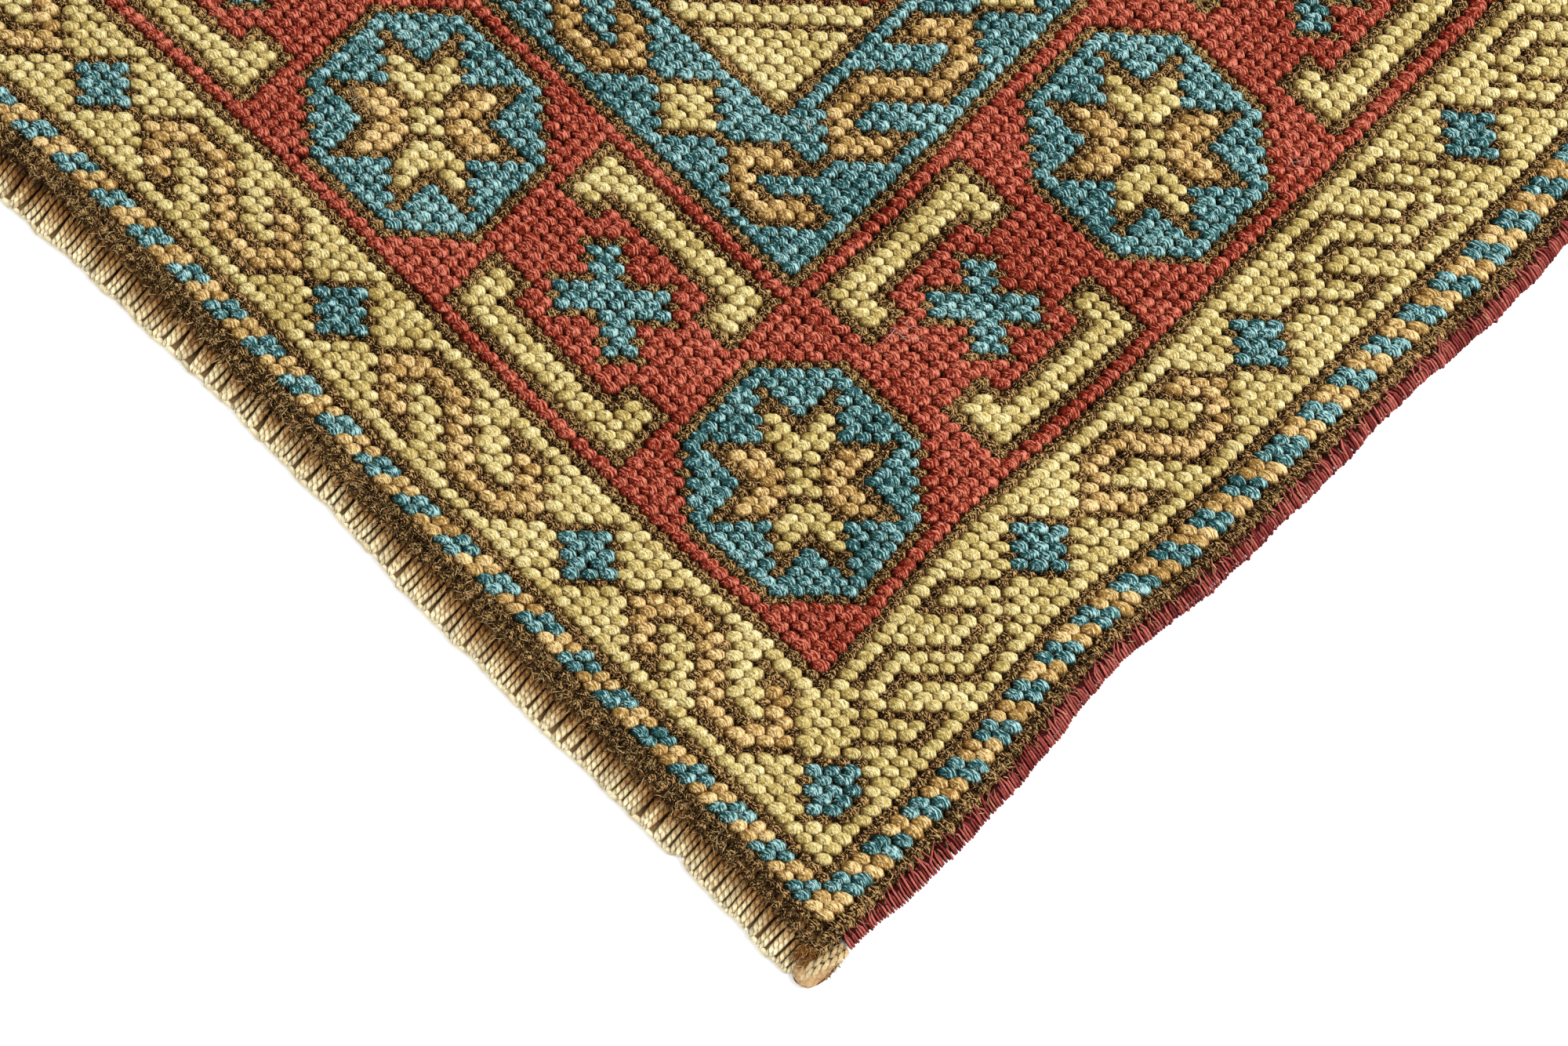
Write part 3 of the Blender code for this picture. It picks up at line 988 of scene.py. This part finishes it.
def make_corner(name, end, side):
    """One corner: the bundle, the two cords folded over it, a thread round its edge and loose fibres."""
    def run(points, count):
        """A smooth path through (beyond the end, beyond the side, height) points in millimetres."""
        points = np.array(points) / 1000
        at = np.linspace(0, len(points) - 1, count)
        steps = np.arange(len(points))
        smooth = np.stack([np.interp(at, steps, points[:, axis]) for axis in range(3)], -1)
        for _ in range(2):
            smooth[1:-1] = (smooth[:-2] + 2 * smooth[1:-1] + smooth[2:]) / 4
        return np.stack([end * (CORNER_X + smooth[:, 0]), side * (CORNER_Y + smooth[:, 1]), smooth[:, 2]], -1)

    share = np.linspace(0, 1, CORNER_STEPS)[None]
    bundle_path = run((
        (-7, 4.0, 1.9), (-3, 3.7, 1.9), (1, 3.2, 1.8), (5.2, 2.5, 1.5), (9.0, 1.8, 1.0),
    ), CORNER_STEPS)[None]
    swell = np.interp(share, (0, 0.25, 0.55, 0.8, 0.92, 1), (0.0024, 0.0031, 0.0038, 0.0044, 0.0039, 0.0020))
    bundle = make_tubes("bundle_" + name, bundle_path, swell, 16, WARP_BUNDLE, (0, 0, 1),
                        share * 0.3 + 0.2, lobe=0.12, twist=share * 1.5, cap=True, flat=0.40)
    cords = np.stack([
        run(((-7.2, 4.6, 3.6), (-3.5, 3.8, 3.9), (0.5, 2.6, 3.7), (4.9, 1.2, 2.7), (7.6, 0.4, 1.3)),
            CORNER_STEPS),
        run(((-6.8, 6.4, 2.8), (-3.2, 5.9, 3.7), (0.8, 4.6, 3.7), (5.0, 3.1, 2.9), (8.2, 2.0, 1.4)),
            CORNER_STEPS),
    ])
    length = np.linspace(0, 0.014, CORNER_STEPS)[None]
    twist = length * CORD_TURN * 0.5 * np.ones((2, 1)) + np.array([[0.0], [1.1]])
    folded = make_tubes("folded_cords_" + name, cords, np.full((2, CORNER_STEPS), FOLDED_RADIUS), 8,
                        WARP_CORD, (0, 0, 1), 0.55 + 0.15 * share * np.ones((2, 1)),
                        FOLDED_LOBE, twist, cap=True)
    edge = run((
        (-2, 7.0, 0.8), (2, 7.4, 0.7), (6.0, 6.6, 0.6), (8.8, 4.2, 0.6), (9.3, 1.2, 0.6), (7.4, -1.2, 0.7),
    ), EDGE_STEPS)
    thread = make_tubes("edge_thread_" + name, edge[None], np.full((1, EDGE_STEPS), EDGE_THREAD_RADIUS), 5,
                        STAINED_HAIR, (0, 0, 1), np.full((1, EDGE_STEPS), 0.3), cap=True)
    count = CORNER_HAIRS
    roots = np.stack([end * (CORNER_X + rng.uniform(-0.0050, 0.0045, count)),
                      side * (CORNER_Y + rng.uniform(-0.0045, 0.0014, count)),
                      rng.uniform(0.0024, 0.0036, count)], -1)
    stain = make_hairs("stain_" + name, roots, rng.uniform(0.002, 0.005, count),
                       math.pi if end < 0 else 0.0, 0.5, 0.0007, 0.00020, STAINED_HAIR, 0.7)
    roots = np.stack([end * (CORNER_X + rng.uniform(-0.0060, 0.004, count)),
                      side * (CORNER_Y + rng.uniform(0.0055, 0.0066, count)),
                      rng.uniform(0.0004, 0.0016, count)], -1)
    tuft = make_hairs("tuft_" + name, roots, rng.uniform(0.0010, 0.0026, count),
                      side * math.pi / 2, 0.9, 0.0003, 0.00016, WARP_BUNDLE)
    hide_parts("wrap_" + name)
    return [bundle, folded, thread, stain, tuft]


def make_lint():
    """A few stray fibres that lie on the pile."""
    spots = ((12.0, 34.7), (5.0, 19.0), (38.4, 7.2), (-12.0, 60.0), (95.0, 80.0), (120.0, 22.0))
    roots = []
    for i, j in spots:
        for _ in range(5):
            x, y = place(i + rng.normal(0, 0.4), j + rng.normal(0, 0.4))
            roots.append((float(x), float(y), KNOT_TOP))
    count = len(roots)
    return make_hairs("lint", np.array(roots), rng.uniform(0.003, 0.008, count), 0.6, 1.2,
                      0.0004, 0.00009, LINT)


thread_pieces = [(make_lint(), "wool_pile"), (make_brown_fibres(BROWN_FIBRES), "wool_pile")]
for end_name, end in (("left", -1), ("right", 1)):
    for side_name, side in (("near", -1), ("far", 1)):
        corner_pieces = make_corner(end_name + "_" + side_name, end, side)
        thread_pieces += [(piece, "cream_warp") for piece in corner_pieces]
for name, side in (("near", -1), ("far", 1)):
    thread_pieces += [(piece, "red_binding") for piece in make_selvedge(name, side)]
    thread_pieces.append((make_side_fuzz(name, side, SIDE_HAIRS), "wool_pile"))
for name, end in (("left", -1), ("right", 1)):
    thread_pieces += [(piece, "cream_warp") for piece in make_warp_ends(name, end)]
    thread_pieces.append((make_end_fuzz(name, end, END_HAIRS), "wool_pile"))
for piece, slot in thread_pieces:
    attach(piece, "root")


# Floor, light and camera

FLOOR_HALF = 3.0
FLOOR_Z = -0.0005
KEY_POWER = 63
FILL_POWER = 18
WORLD_STRENGTH = 0.82


def add_floor():
    half = FLOOR_HALF
    points = [(-half, -half, 0), (half, -half, 0), (half, half, 0), (-half, half, 0)]
    material, _, _, shader = new_material("floor_white")
    shader.inputs["Base Color"].default_value = (0.93, 0.93, 0.93, 1)
    shader.inputs["Roughness"].default_value = 0.9
    floor = mesh_object("floor", points, [np.array([[0, 1, 2, 3]])], [material], False)
    floor.location.z = FLOOR_Z


def add_light(name, at, aim, size, power):
    light = bpy.data.lights.new(name, "AREA")
    light.shape = "SQUARE"
    light.size = size
    light.energy = power
    lamp = bpy.data.objects.new(name, light)
    lamp.location = at
    lamp.rotation_euler = (Vector(aim) - Vector(at)).to_track_quat("-Z", "Y").to_euler()
    bpy.context.scene.collection.objects.link(lamp)


def add_camera():
    camera = bpy.data.cameras.new("camera")
    camera.sensor_fit = "HORIZONTAL"
    camera.sensor_width = CAMERA_SENSOR
    camera.lens = CAMERA_LENS
    camera.clip_start = 0.01
    piece = bpy.data.objects.new("camera", camera)
    back_axis = (Vector(CAMERA_AT) - Vector(CAMERA_AIM)).normalized()
    right = Vector(CAMERA_UP).cross(back_axis).normalized()
    up = back_axis.cross(right)
    turn = Matrix((right, up, back_axis)).transposed().to_4x4()
    piece.matrix_world = Matrix.Translation(CAMERA_AT) @ turn
    bpy.context.scene.collection.objects.link(piece)
    bpy.context.scene.camera = piece


def add_world():
    world = bpy.data.worlds.new("studio")
    world.use_nodes = True
    shader = world.node_tree.nodes["Background"]
    shader.inputs["Color"].default_value = (1, 1, 1, 1)
    shader.inputs["Strength"].default_value = WORLD_STRENGTH
    bpy.context.scene.world = world


bpy.context.scene.view_settings.view_transform = "Standard"
add_floor()
add_light("key", (0.9, -1.1, 1.5), (-0.2, -0.1, 0), 1.2, KEY_POWER)
add_light("fill", (-1.4, 0.6, 1.6), (-0.1, 0, 0), 1.8, FILL_POWER)
add_world()
add_camera()
